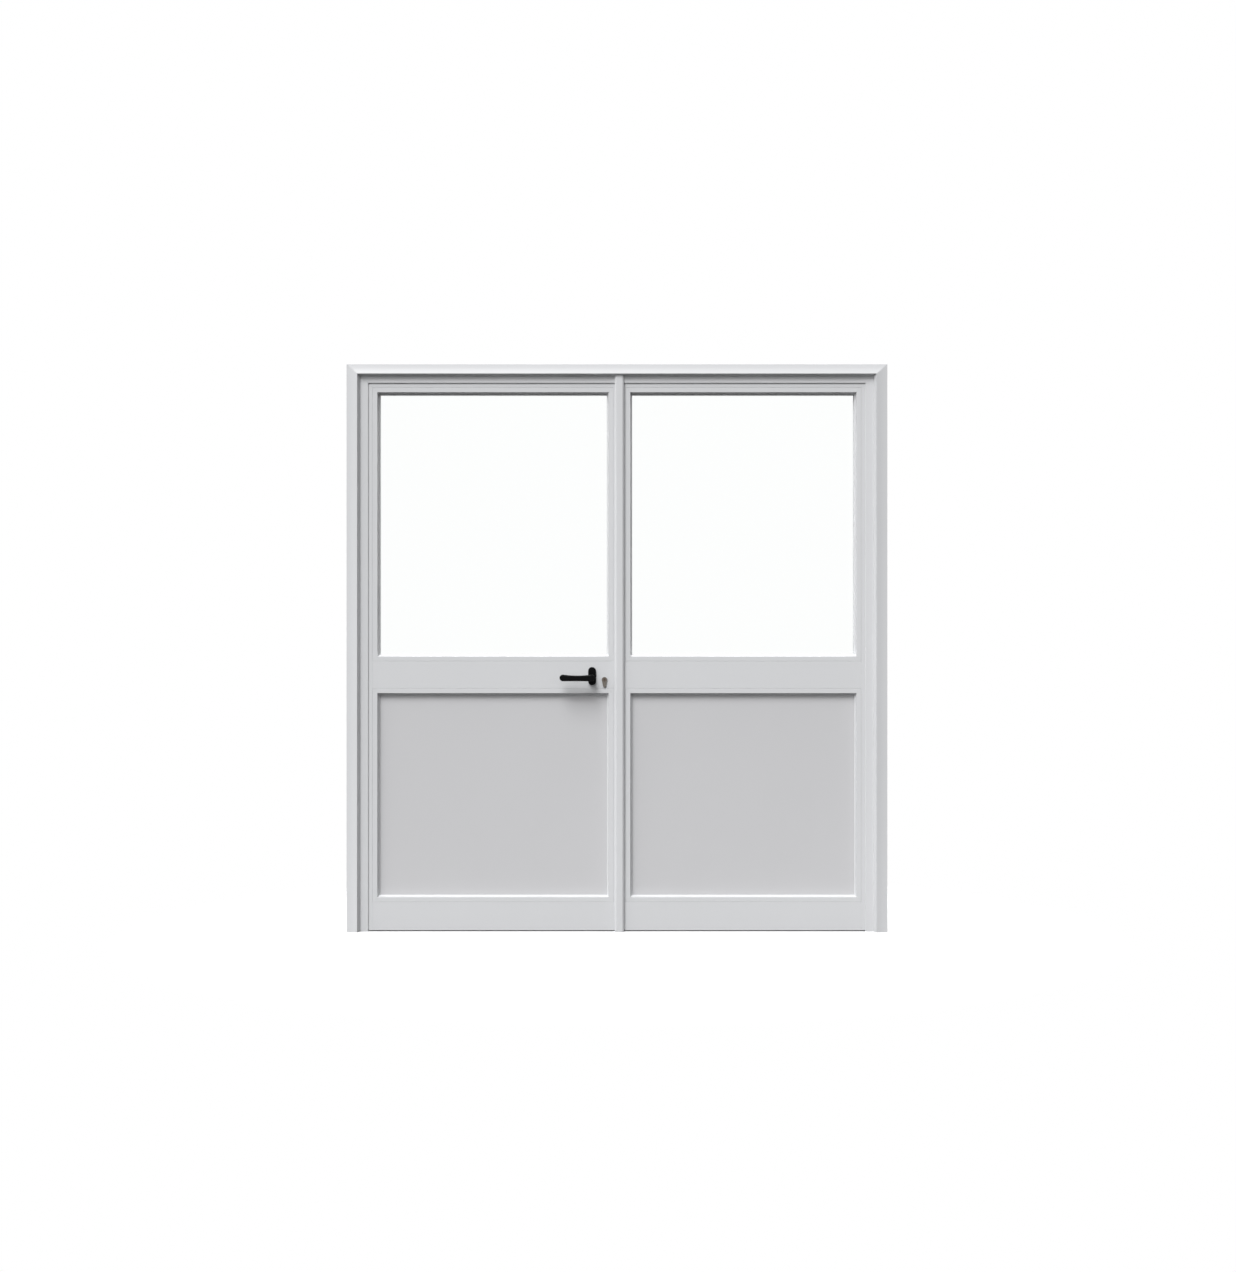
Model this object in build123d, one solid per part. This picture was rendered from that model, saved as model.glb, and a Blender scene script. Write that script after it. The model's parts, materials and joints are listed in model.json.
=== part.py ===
"""French doors: two glazed leaves that close on a fixed centre post in a three-sided frame.

Millimetres, +Z up, front towards -Y, leaves open towards +Y. The origin is on the floor, at the
middle of the frame's width and of the leaves' thickness.
"""

from build123d import *
from math import hypot, pi
import os

# Overall size
overall_width = 2000.0
overall_height = 2100.0

# Fits shared by all pieces
cut_overrun = 5.0
slip_fit = 0.2
running_fit = 0.05
moving_gap = 0.5
profile_wall = 2.0

# Leaves and the gaps round them
leaf_thickness = 45.0
leaf_floor_gap = 4.0
edge_gap = 4.0
meeting_gap = 4.5

# Frame: hollow jambs and head with a lip in front of the leaves
frame_body_width = 43.0
lip_lap = 7.5
lip_thickness = 2.4
lip_chamfer_share = 0.8
wall_lap_side = 25.0
wall_lap_head = 14.5
fixing_radius = 4.2
fixing_foot_distance = 300.0
fixing_head_distance = 285.5
fixing_count = 4
frame_cleat_reach = 110.0
cleat_depth = 20.0

# Seals on the lips and on the post, just clear of the closed leaves
seal_depth = 1.6
seal_relief = 0.3
seal_width = 5.0
seal_inset = 1.0

# Casing: a cover moulding that rises in a cove to a ridge at its inner edge
casing_side_width = 41.0
casing_head_width = 36.0
casing_return = 9.0
casing_rise = 17.5
casing_edge = 10.5
casing_ridge = 2.0
casing_cove_sag = 1.3
casing_wall = 1.8

# Centre post: a bevelled cap in front of the leaves on a web between them
post_x = 9.5
post_cap_width = 34.4
post_cap_projection = 9.4
post_bevel_width = 6.0
post_bevel_depth = 5.0
post_web_width = 10.0
post_foot_height = 60.0
post_foot_hole_radius = 2.6
post_foot_hole_spacing = 12.0
post_head_cleat_height = 50.0

# Leaf profiles: a hollow box with a leg behind the pane, and sloped beads in front of it
stile_face = 22.0
meeting_face = 12.7
bottom_rail_height = 105.3
lock_rail_bottom = 901.1
lock_rail_height = 100.7
bead_flat = 16.5
bead_slope = 8.5
bead_wall = 1.5
bead_fit = 0.3
glazing_room = 16.0
glass_thickness = 6.0
panel_thickness = 10.0
pane_edge_gap = 8.0
gasket_recess = 3.0
gasket_width = 10.0
setting_block_length = 80.0
setting_block_place_share = 0.25
leaf_cleat_reach = 60.0
sweep_thickness = 3.0
sweep_width = 12.0

# Hinges on the back of the leaves
hinge_foot_distance = 256.0
hinge_head_distance = 198.5
hinge_height = 100.0
hinge_knuckle_radius = 8.0
hinge_standoff = 8.5
hinge_pin_radius = 4.5
hinge_pin_cap_radius = 6.0
hinge_pin_cap_height = 4.0
hinge_plate_thickness = 3.0
hinge_plate_width = 24.0
hinge_plate_clearance = 1.3
hinge_leaf_knuckle_share = 0.4
hinge_screw_radius = 2.2
hinge_screw_head_radius = 4.2
hinge_screw_length = 12.0
hinge_screw_place_share = 0.3

# Handle on the lock rail of the left leaf
spindle_from_edge = 92.0
spindle_above_plug = 7.0
spindle_size = 7.0
spindle_hole_radius = 6.5
rosette_above_spindle = 6.5
rosette_width = 29.0
rosette_length = 67.0
rosette_thickness = 8.0
rosette_edge = 2.0
rosette_screw_spacing = 48.0
rosette_screw_radius = 2.5
rosette_screw_head_radius = 4.5
rosette_screw_head_depth = 3.0
lever_projection = 57.5
lever_depth = 17.0
lever_reach = 108.0
lever_neck_radius = 11.0
lever_end_above = 13.0
lever_end_below = 11.4
lever_waist_above = 9.3
lever_waist_below = 11.2
lever_edge = 5.5

# Lock in the lock rail: handle bolt driven by a pinion, deadbolt driven by the key plug
lock_case_length = 116.0
lock_case_headroom = 15.7
lock_case_thickness = 16.0
lock_case_wall = 1.5
lock_case_seat = 1.0
forend_width = 20.0
forend_margin = 15.0
bolt_throw = 12.0
bolt_setback = 0.5
bolt_thickness = 10.0
bolt_height = 15.0
bolt_tail_behind_spindle = 18.0
pinion_teeth = 12
pinion_thickness = 8.0
tooth_height = 2.0
tooth_root_width = 1.7
tooth_tip_width = 0.9
cylinder_from_edge = 46.0
cylinder_rail_clearance = 3.9
cylinder_top_radius = 10.0
cylinder_foot_radius = 5.5
cylinder_foot_drop = 22.5
cylinder_projection = 5.0
plug_radius = 6.5
plug_proud = 0.6
keyway_width = 3.0
keyway_height = 8.0
keyway_depth = 20.0
cam_thickness = 9.4
cam_gap = 10.0
cam_finger_radius = 10.5
cam_finger_width = 5.0
deadbolt_height = 22.0
deadbolt_length = 32.0
bolt_spacing = 4.6
strike_width = 20.0
strike_margin = 25.0
strike_play = 0.8

# Slide bolts on the back of the right leaf
slide_bolt_foot_distance = 476.0
slide_bolt_head_distance = 478.5
slide_case_length = 30.0
slide_case_height = 26.0
slide_case_depth = 14.0
slide_case_setback = 3.0
slide_case_edge = 2.0
slide_rod_radius = 4.5
slide_rod_setback = 1.0
slide_rod_length = 28.0
slide_rod_standoff = 7.0
slide_throw = 12.0
slide_knob_from_tip = 23.0
slide_knob_radius = 3.0
slide_knob_ball_radius = 5.0
slide_knob_reach = 17.0
keep_depth = 14.5
keep_play = 0.6

# Places worked out from the sizes
leaf_front = -leaf_thickness / 2
leaf_back = leaf_thickness / 2
lip_back = leaf_front - seal_depth
frame_front = lip_back - lip_thickness
lip_width = edge_gap + lip_lap
lip_chamfer = lip_thickness * lip_chamfer_share
frame_width = frame_body_width + lip_width
frame_half = overall_width / 2 - wall_lap_side
frame_top = overall_height - wall_lap_head
lip_x = frame_half - frame_width
lip_z = frame_top - frame_width
leaf_top = lip_z + lip_lap
leaf_hinge_x = lip_x + lip_lap
bead_width = bead_flat + bead_slope
bead_back = -glazing_room / 2
leg_front = glazing_room / 2
post_cap_front = frame_front - post_cap_projection
casing_spread = casing_head_width / casing_side_width
casing_foot = casing_side_width + casing_return
hinge_x = leaf_hinge_x + edge_gap / 2
hinge_y = leaf_back + hinge_standoff
hinge_low = leaf_floor_gap + hinge_foot_distance
hinge_high = leaf_top - hinge_head_distance
hinge_heights = (hinge_low, (hinge_low + hinge_high) / 2, hinge_high)
fixing_pitch = (frame_top - fixing_head_distance - fixing_foot_distance) / (fixing_count - 1)
left_meeting_x = post_x - post_web_width / 2 - meeting_gap
right_meeting_x = post_x + post_web_width / 2 + meeting_gap
spindle_x = left_meeting_x - spindle_from_edge
plug_x = left_meeting_x - cylinder_from_edge
lock_rail_top = lock_rail_bottom + lock_rail_height
cylinder_foot = lock_rail_bottom + cylinder_rail_clearance
plug_height = cylinder_foot + cylinder_foot_radius + cylinder_foot_drop
spindle_height = plug_height + spindle_above_plug
rosette_height_centre = spindle_height + rosette_above_spindle
bottom_rail_top = leaf_floor_gap + bottom_rail_height
lock_case_low = lock_rail_bottom + profile_wall + lock_case_seat
lock_case_high = lock_rail_top - profile_wall - lock_case_headroom
pinion_pitch_radius = bolt_throw / (pi / 2)
tooth_pitch = 2 * pi * pinion_pitch_radius / pinion_teeth
bolt_tip = left_meeting_x - bolt_setback
bolt_low = spindle_height + pinion_pitch_radius + tooth_height / 2
bolt_high = bolt_low + bolt_height
deadbolt_high = bolt_low - bolt_spacing
deadbolt_low = deadbolt_high - deadbolt_height
slide_rod_y = leaf_back + slide_rod_standoff
slide_bolt_low = leaf_floor_gap + slide_bolt_foot_distance
slide_bolt_high = leaf_top - slide_bolt_head_distance

nodes = {}


def keep(name, *shapes):
    """Store the solids of one or more shapes as one node."""
    nodes[name] = Compound([solid for shape in shapes for solid in shape.solids()])


def block(x, y, z):
    """Box between a pair of limits on each axis, given in either order."""
    low = [min(limits) for limits in (x, y, z)]
    size = [max(limits) - min(limits) for limits in (x, y, z)]
    return Pos(*low) * Box(*size, align=(Align.MIN, Align.MIN, Align.MIN))


def rod(start, end, radius):
    """Round bar from one point to another."""
    run = Vector(*end) - Vector(*start)
    return Part(Solid.make_cylinder(radius, run.length, Plane(origin=start, z_dir=run)).wrapped)


def around(middle, size):
    """Limits of a size about its middle."""
    return (middle - size / 2, middle + size / 2)


def bar(points, direction, length):
    """Straight bar with a closed outline of points as its section."""
    return extrude(make_face(Polyline(*points, close=True)), amount=length, dir=direction)


def upright(section, edge_x, inward, low, high):
    """Bar along Z whose section holds pairs of distance from an edge and depth."""
    points = [(edge_x + inward * across, depth, low) for across, depth in section]
    return bar(points, (0, 0, 1), high - low)


def level(section, edge_z, inward, left, right):
    """Bar along X whose section holds pairs of distance from an edge and depth."""
    points = [(left, depth, edge_z + inward * across) for across, depth in section]
    return bar(points, (1, 0, 0), right - left)


def hollow(make, outer, core, *place):
    """Bar with a core taken out along its whole length."""
    return make(outer, *place) - make(core, *place)


def mitre_block(outer, inner, toward):
    """All that lies on one side of the line from an outer to an inner corner of the XZ plane."""
    start = Vector(outer[0], 0, outer[1])
    run = Vector(inner[0], 0, inner[1]) - start
    along = run.normalized()
    aside = Vector(along.Z, 0, -along.X)
    if aside.dot(Vector(toward[0], 0, toward[1])) < 0:
        aside = -aside
    reach = run.length + cut_overrun
    front = Vector(0, -overall_width, 0)
    corners = [start - along * cut_overrun, start + along * reach]
    corners += [corners[1] + aside * (reach + cut_overrun), corners[0] + aside * (reach + cut_overrun)]
    return bar([corner + front for corner in corners], (0, 1, 0), 2 * overall_width)


# Frame
frame_section = [
    (0, frame_front),
    (frame_width - lip_chamfer, frame_front),
    (frame_width, frame_front + lip_chamfer),
    (frame_width, lip_back),
    (frame_body_width, lip_back),
    (frame_body_width, leaf_back),
    (0, leaf_back),
]
frame_core = [
    (profile_wall, frame_front + profile_wall),
    (frame_body_width - profile_wall, frame_front + profile_wall),
    (frame_body_width - profile_wall, leaf_back - profile_wall),
    (profile_wall, leaf_back - profile_wall),
]


def frame_corner(side):
    """Outer and inner end of the mitre at one top corner of the frame."""
    return (side * frame_half, frame_top), (side * lip_x, lip_z)


def hinge_screw_places(side, on_leaf):
    """Centres of the hinge screws of one side, on its leaf or on its jamb."""
    inward = -side if on_leaf else side
    across = hinge_knuckle_radius + hinge_plate_clearance + hinge_plate_width / 2
    reach = hinge_height * hinge_screw_place_share
    rows = [height + step for height in hinge_heights for step in (-reach, reach)]
    return [(side * hinge_x + inward * across, z) for z in rows]


def drill_hinge_screws(shape, side, on_leaf):
    """Take the hinge screws' holes out of a bar's back wall."""
    for x, z in hinge_screw_places(side, on_leaf):
        inside = leaf_back - hinge_screw_length
        shape -= rod((x, inside, z), (x, leaf_back + cut_overrun, z), hinge_screw_radius + slip_fit)
    return shape


def jamb(side):
    """Hollow jamb, mitred at the top, with its fixing holes and hinge holes."""
    outer_x = side * frame_half
    shape = hollow(upright, frame_section, frame_core, outer_x, -side, 0, frame_top)
    shape -= mitre_block(*frame_corner(side), (-side, 1))
    for row in range(fixing_count):
        z = fixing_foot_distance + row * fixing_pitch
        start = (outer_x + side * cut_overrun, 0, z)
        end = (outer_x - side * (frame_body_width + cut_overrun), 0, z)
        shape -= rod(start, end, fixing_radius)
    return drill_hinge_screws(shape, side, False)


def head_bar():
    """Hollow head, mitred at both ends."""
    shape = hollow(level, frame_section, frame_core, frame_top, -1, -frame_half, frame_half)
    for side in (-1, 1):
        shape -= mitre_block(*frame_corner(side), (side, -1))
    return shape


def elbow(corner, side, across, reach, depth):
    """Solid corner cleat that fills two hollow bars near a top corner."""
    x, z = corner
    near = across[0] + slip_fit
    far = across[1] - slip_fit
    post_arm = block((x - side * near, x - side * far), depth, (z - reach, z - near))
    rail_arm = block((x - side * near, x - side * reach), depth, (z - far, z - near))
    return post_arm + rail_arm


keep("jamb_left", jamb(-1))
keep("jamb_right", jamb(1))
keep("head", head_bar())
frame_hollow = (profile_wall, frame_body_width - profile_wall)
keep(
    "frame_corner_cleats",
    *[
        elbow((side * frame_half, frame_top), side, frame_hollow, frame_cleat_reach, around(0, cleat_depth))
        for side in (-1, 1)
    ],
)


# Casing
def casing_outline(place, inset):
    """Section of the casing, or of its hollow when inset by the wall."""
    back = frame_front
    ridge = back - casing_rise
    edge = back - casing_edge
    crown = casing_side_width - casing_ridge
    slant_wall = inset * hypot(casing_return, casing_rise) / casing_rise
    shoulder = casing_side_width + casing_return * inset / casing_rise - slant_wall
    cove = (crown / 2, (edge + ridge) / 2 + casing_cove_sag + inset)
    start = place(inset, edge + inset)
    end = place(crown, ridge + inset)
    back_foot = place(casing_foot - slant_wall, back)
    back_edge = place(inset, back)
    return make_face(
        [
            Line(back_edge, start),
            ThreePointArc(start, place(*cove), end),
            Polyline(end, place(shoulder, ridge + inset), back_foot, back_edge),
        ]
    )


def casing_side(side):
    """Casing up one side, mitred at the top."""

    def place(across, depth):
        return (side * (overall_width / 2 - across), depth, 0)

    shape = extrude(casing_outline(place, 0), amount=overall_height, dir=(0, 0, 1))
    shape -= extrude(casing_outline(place, casing_wall), amount=overall_height, dir=(0, 0, 1))
    return shape - mitre_block(*casing_corner(side), (-side, 1))


def casing_corner(side):
    """Outer and inner end of the mitre at one top corner of the casing."""
    outer = (side * overall_width / 2, overall_height)
    inner = (side * (overall_width / 2 - casing_foot), overall_height - casing_foot * casing_spread)
    return outer, inner


def casing_head_bar(inset):
    """Full-length bar of the head casing, or of its hollow."""

    def place(across, depth):
        return (-overall_width / 2, depth, overall_height - across * casing_spread)

    return extrude(casing_outline(place, inset), amount=overall_width, dir=(1, 0, 0))


def casing_head():
    """Casing over the head, mitred at both ends."""
    shape = casing_head_bar(0) - casing_head_bar(casing_wall)
    for side in (-1, 1):
        shape -= mitre_block(*casing_corner(side), (side, -1))
    return shape


keep("casing_left", casing_side(-1))
keep("casing_right", casing_side(1))
keep("casing_head", casing_head())


# Centre post
def post_half(side):
    """Half of the post's section, from the front of the cap to the back of the web."""
    cap = post_cap_width / 2
    web = post_web_width / 2
    return [
        (side * (cap - post_bevel_width), post_cap_front),
        (side * cap, post_cap_front + post_bevel_depth),
        (side * cap, lip_back),
        (side * web, lip_back),
        (side * web, leaf_back),
    ]


def post_cap_half(side):
    """Half of the hollow in the post's cap."""
    cap = post_cap_width / 2 - profile_wall
    return [
        (side * (cap - post_bevel_width + profile_wall / 2), post_cap_front + profile_wall),
        (side * cap, post_cap_front + post_bevel_depth + profile_wall / 2),
        (side * cap, lip_back - profile_wall),
    ]


post_web_inside = around(post_x, post_web_width - 2 * profile_wall)
post_web_hollow_y = (lip_back + profile_wall, leaf_back - profile_wall)
strike_low = deadbolt_low - strike_margin
strike_high = bolt_high + strike_margin
web_face = post_x - post_web_width / 2


def centre_post():
    """Hollow post, scribed to the head and to its casing, with a window for the strike."""
    top = overall_height - casing_head_width
    outline = post_half(1) + post_half(-1)[::-1]
    cap_hollow = post_cap_half(1) + post_cap_half(-1)[::-1]
    shape = upright(outline, post_x, 1, 0, top) - upright(cap_hollow, post_x, 1, 0, top)
    shape -= block(post_web_inside, post_web_hollow_y, (0, top))
    shape -= level(frame_section, frame_top, -1, -frame_half, frame_half)
    shape -= casing_head_bar(0)
    window_y = around(0, strike_width + 2 * slip_fit)
    window_z = (strike_low - slip_fit, strike_high + slip_fit)
    return shape - block((web_face - cut_overrun, web_face + profile_wall), window_y, window_z)


def post_foot():
    """Block in the foot of the post, with holes for the floor fixings."""
    half = post_cap_width / 2 - post_bevel_width - profile_wall / 2 - slip_fit
    depth = (post_cap_front + profile_wall + slip_fit, lip_back - profile_wall - slip_fit)
    shape = block((post_x - half, post_x + half), depth, (0, post_foot_height))
    middle = sum(depth) / 2
    for x in around(post_x, post_foot_hole_spacing):
        top = (x, middle, post_foot_height + cut_overrun)
        shape -= rod((x, middle, -cut_overrun), top, post_foot_hole_radius)
    return shape


def lock_strike():
    """Plate set flush in the post's web, with a slot for each bolt of the lock."""
    shape = block((web_face, web_face + profile_wall), around(0, strike_width), (strike_low, strike_high))
    through = (web_face - cut_overrun, web_face + cut_overrun)
    slot_y = around(0, bolt_thickness + 2 * strike_play)
    for low, high in ((bolt_low, bolt_high), (deadbolt_low, deadbolt_high)):
        shape -= block(through, slot_y, (low - strike_play, high + strike_play))
    return shape


keep("centre_post", centre_post())
keep("post_foot", post_foot())
keep(
    "post_head_cleat",
    block(
        (post_web_inside[0] + slip_fit, post_web_inside[1] - slip_fit),
        (post_web_hollow_y[0] + slip_fit, post_web_hollow_y[1] - slip_fit),
        (lip_z + lip_width - post_head_cleat_height, lip_z + lip_width),
    ),
)
keep("lock_strike", lock_strike())


# Seals
def seals():
    """Strips on the back of the lips and of the post's cap."""
    depth = (lip_back, leaf_front - seal_relief)
    strips = []
    for side in (-1, 1):
        near = lip_x + seal_inset
        strips.append(block((side * near, side * (near + seal_width)), depth, (0, lip_z + seal_inset)))
        edge = post_x + side * (post_cap_width / 2 - seal_inset)
        strips.append(block((edge, edge - side * seal_width), depth, (0, lip_z)))
        head_x = (post_x + side * post_web_width / 2, side * (near + seal_width))
        head_z = (lip_z + seal_inset, lip_z + seal_inset + seal_width)
        strips.append(block(head_x, depth, head_z))
    return strips


keep("frame_seals", *seals())


# Hinges
knuckle_split = hinge_height * hinge_leaf_knuckle_share / 2


def hinge_plate(side, inward, low, high, knuckles):
    """Plate and knuckles of one half of a hinge, drilled for its screws."""
    axis_x = side * hinge_x
    near = axis_x + inward * (hinge_knuckle_radius + hinge_plate_clearance)
    plate_y = (leaf_back, leaf_back + hinge_plate_thickness)
    shape = block((near, near + inward * hinge_plate_width), plate_y, (low, high))
    for bottom, top in knuckles:
        shape += block((axis_x, near), plate_y, (bottom, top))
        shape += rod((axis_x, hinge_y, bottom), (axis_x, hinge_y, top), hinge_knuckle_radius)
    bore = hinge_pin_radius + running_fit
    shape -= rod((axis_x, hinge_y, low - cut_overrun), (axis_x, hinge_y, high + cut_overrun), bore)
    for x, z in hinge_screw_places(side, inward == -side):
        if low < z < high:
            shape -= hinge_screw(x, z, slip_fit)
    return shape


def hinge_screw(x, z, clearance):
    """Countersunk screw through a hinge plate, flush with its face."""
    face = leaf_back + hinge_plate_thickness
    radius = hinge_screw_radius + clearance
    flare = hinge_screw_head_radius - hinge_screw_radius
    plane = Plane(origin=(x, face - flare, z), z_dir=(0, 1, 0))
    cone = Solid.make_cone(radius, hinge_screw_head_radius + clearance, flare, plane)
    return rod((x, leaf_back - hinge_screw_length, z), (x, face - flare, z), radius) + Part(cone.wrapped)


def frame_hinge(side, height):
    """Frame half of a hinge: a plate on the jamb with an upper and a lower knuckle."""
    low, high = around(height, hinge_height)
    inner = knuckle_split + moving_gap
    return hinge_plate(side, side, low, high, [(low, height - inner), (height + inner, high)])


def leaf_hinge(side, height):
    """Leaf half of a hinge: a plate on the stile with the middle knuckle."""
    low, high = around(height, hinge_height)
    return hinge_plate(side, -side, low, high, [(height - knuckle_split, height + knuckle_split)])


def hinge_pin(side, height):
    """Pin through the knuckles, with a cap that rests on the upper one."""
    low, high = around(height, hinge_height)
    x = side * hinge_x
    shape = rod((x, hinge_y, low), (x, hinge_y, high), hinge_pin_radius)
    return shape + rod((x, hinge_y, high), (x, hinge_y, high + hinge_pin_cap_height), hinge_pin_cap_radius)


sides = (-1, 1)
keep("hinge_frame_plates", *[frame_hinge(side, height) for side in sides for height in hinge_heights])
keep("hinge_pins", *[hinge_pin(side, height) for side in sides for height in hinge_heights])
keep(
    "hinge_frame_screws",
    *[hinge_screw(x, z, 0) for side in sides for x, z in hinge_screw_places(side, False)],
)


# Leaves
def stile_section(face):
    """Outline of a stile or rail: a box of the given face with a leg behind the pane."""
    return [
        (0, leaf_front),
        (face, leaf_front),
        (face, leg_front),
        (face + bead_width, leg_front),
        (face + bead_width, leaf_back),
        (0, leaf_back),
    ]


def stile_core(face):
    """Hollow of a stile or rail of the given face."""
    return [
        (profile_wall, leaf_front + profile_wall),
        (face - profile_wall, leaf_front + profile_wall),
        (face - profile_wall, leg_front + profile_wall),
        (face + bead_width - profile_wall, leg_front + profile_wall),
        (face + bead_width - profile_wall, leaf_back - profile_wall),
        (profile_wall, leaf_back - profile_wall),
    ]


lock_rail_section = [
    (0, leaf_front),
    (lock_rail_height, leaf_front),
    (lock_rail_height, leg_front),
    (lock_rail_height + bead_width, leg_front),
    (lock_rail_height + bead_width, leaf_back),
    (-bead_width, leaf_back),
    (-bead_width, leg_front),
    (0, leg_front),
]
lock_rail_core = [
    (profile_wall, leaf_front + profile_wall),
    (lock_rail_height - profile_wall, leaf_front + profile_wall),
    (lock_rail_height - profile_wall, leg_front + profile_wall),
    (lock_rail_height + bead_width - profile_wall, leg_front + profile_wall),
    (lock_rail_height + bead_width - profile_wall, leaf_back - profile_wall),
    (-bead_width + profile_wall, leaf_back - profile_wall),
    (-bead_width + profile_wall, leg_front + profile_wall),
    (profile_wall, leg_front + profile_wall),
]
bead_section = [
    (bead_fit, leaf_front),
    (bead_flat, leaf_front),
    (bead_width, bead_back),
    (bead_fit, bead_back),
]
bead_slant = bead_wall * hypot(bead_slope, bead_back - leaf_front) / (bead_back - leaf_front)
bead_lean = bead_wall * bead_slope / (bead_back - leaf_front)
bead_core = [
    (bead_fit + bead_wall, leaf_front + bead_wall),
    (bead_flat + bead_lean - bead_slant, leaf_front + bead_wall),
    (bead_width - bead_lean - bead_slant, bead_back - bead_wall),
    (bead_fit + bead_wall, bead_back - bead_wall),
]


def bead_ring(x, z):
    """Four mitred beads round an opening with the given limits."""
    low_x, high_x = x
    low_z, high_z = z
    bars = {
        (-1, 0): hollow(upright, bead_section, bead_core, low_x, 1, low_z, high_z),
        (1, 0): hollow(upright, bead_section, bead_core, high_x, -1, low_z, high_z),
        (0, -1): hollow(level, bead_section, bead_core, low_z, 1, low_x, high_x),
        (0, 1): hollow(level, bead_section, bead_core, high_z, -1, low_x, high_x),
    }
    beads = []
    for (across, along), shape in bars.items():
        for end in (-1, 1):
            way_x = across or end
            way_z = along or end
            corner = (high_x if way_x > 0 else low_x, high_z if way_z > 0 else low_z)
            inner = (corner[0] - way_x * bead_width, corner[1] - way_z * bead_width)
            toward = (-way_x, way_z) if across else (way_x, -way_z)
            shape -= mitre_block(corner, inner, toward)
        beads.append(shape)
    return beads


def ring(x, y, z, width):
    """Flat rectangular frame of the given width inside its limits."""
    inner_x = (x[0] + width, x[1] - width)
    inner_z = (z[0] + width, z[1] - width)
    cut_y = (y[0] - cut_overrun, y[1] + cut_overrun)
    return block(x, y, z) - block(inner_x, cut_y, inner_z)


def inset_limits(limits, distance):
    """Limits drawn in by a distance at both ends."""
    return (limits[0] + distance, limits[1] - distance)


def infill(x, z, thickness):
    """Pane, beads, gaskets and setting blocks of one opening."""
    half = thickness / 2
    pane = block(inset_limits(x, pane_edge_gap), (-half, half), inset_limits(z, pane_edge_gap))
    reach = bead_width - gasket_recess - gasket_width
    ring_x = inset_limits(x, reach)
    ring_z = inset_limits(z, reach)
    gaskets = [ring(ring_x, depth, ring_z, gasket_width) for depth in ((bead_back, -half), (half, leg_front))]
    blocks = []
    for share in (setting_block_place_share, 1 - setting_block_place_share):
        middle = x[0] + (x[1] - x[0]) * share
        blocks.append(
            block(around(middle, setting_block_length), (-half, half), (z[0], z[0] + pane_edge_gap))
        )
    return pane, bead_ring(x, z), gaskets, blocks


def spigot(end_x, inward, low, high):
    """Block in the open end of a rail, against the stile that it butts on."""
    inner = profile_wall + slip_fit
    x = (end_x, end_x + inward * leaf_cleat_reach)
    return block(x, around(-cleat_depth / 2, cleat_depth), (low + inner, high - inner))


def lock_holes(shape):
    """Take the holes for spindle, cylinder and rosette screws through the lock rail."""
    reach = leaf_thickness / 2 + cut_overrun
    shape -= rod((spindle_x, -reach, spindle_height), (spindle_x, reach, spindle_height), spindle_hole_radius)
    shape -= cylinder_bar(slip_fit, -reach, reach)
    for z in around(rosette_height_centre, rosette_screw_spacing):
        shape -= rod((spindle_x, -reach, z), (spindle_x, reach, z), rosette_screw_radius + slip_fit)
    return shape


def cylinder_bar(clearance, front, back):
    """Bar with the pear-shaped section of the lock cylinder."""
    top = Pos(plug_x, plug_height) * Circle(cylinder_top_radius + clearance)
    foot = Pos(plug_x, plug_height - cylinder_foot_drop) * Circle(cylinder_foot_radius + clearance)
    section = make_hull([*top.edges(), *foot.edges()])
    plane = Plane(origin=(0, front, 0), x_dir=(1, 0, 0), z_dir=(0, -1, 0))
    return extrude(plane * section, amount=back - front, dir=(0, 1, 0))


forend_y = around(0, forend_width)
forend_z = (lock_case_low - forend_margin, lock_case_high + forend_margin)
forend_back = left_meeting_x - profile_wall


def lock_stile_cuts(shape):
    """Take the forend's window, the lock case's slot and the cylinder's notch out of the meeting stile."""
    window_y = inset_limits(forend_y, -slip_fit)
    window_z = inset_limits(forend_z, -slip_fit)
    shape -= block((forend_back, left_meeting_x + cut_overrun), window_y, window_z)
    slot_x = (left_meeting_x - meeting_face - bead_width - cut_overrun, left_meeting_x)
    slot_y = around(0, lock_case_thickness + 2 * slip_fit)
    shape -= block(slot_x, slot_y, (lock_case_low - slip_fit, lock_case_high + slip_fit))
    return shape - cylinder_bar(slip_fit, leg_front - cut_overrun, leaf_back + cut_overrun)


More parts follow.
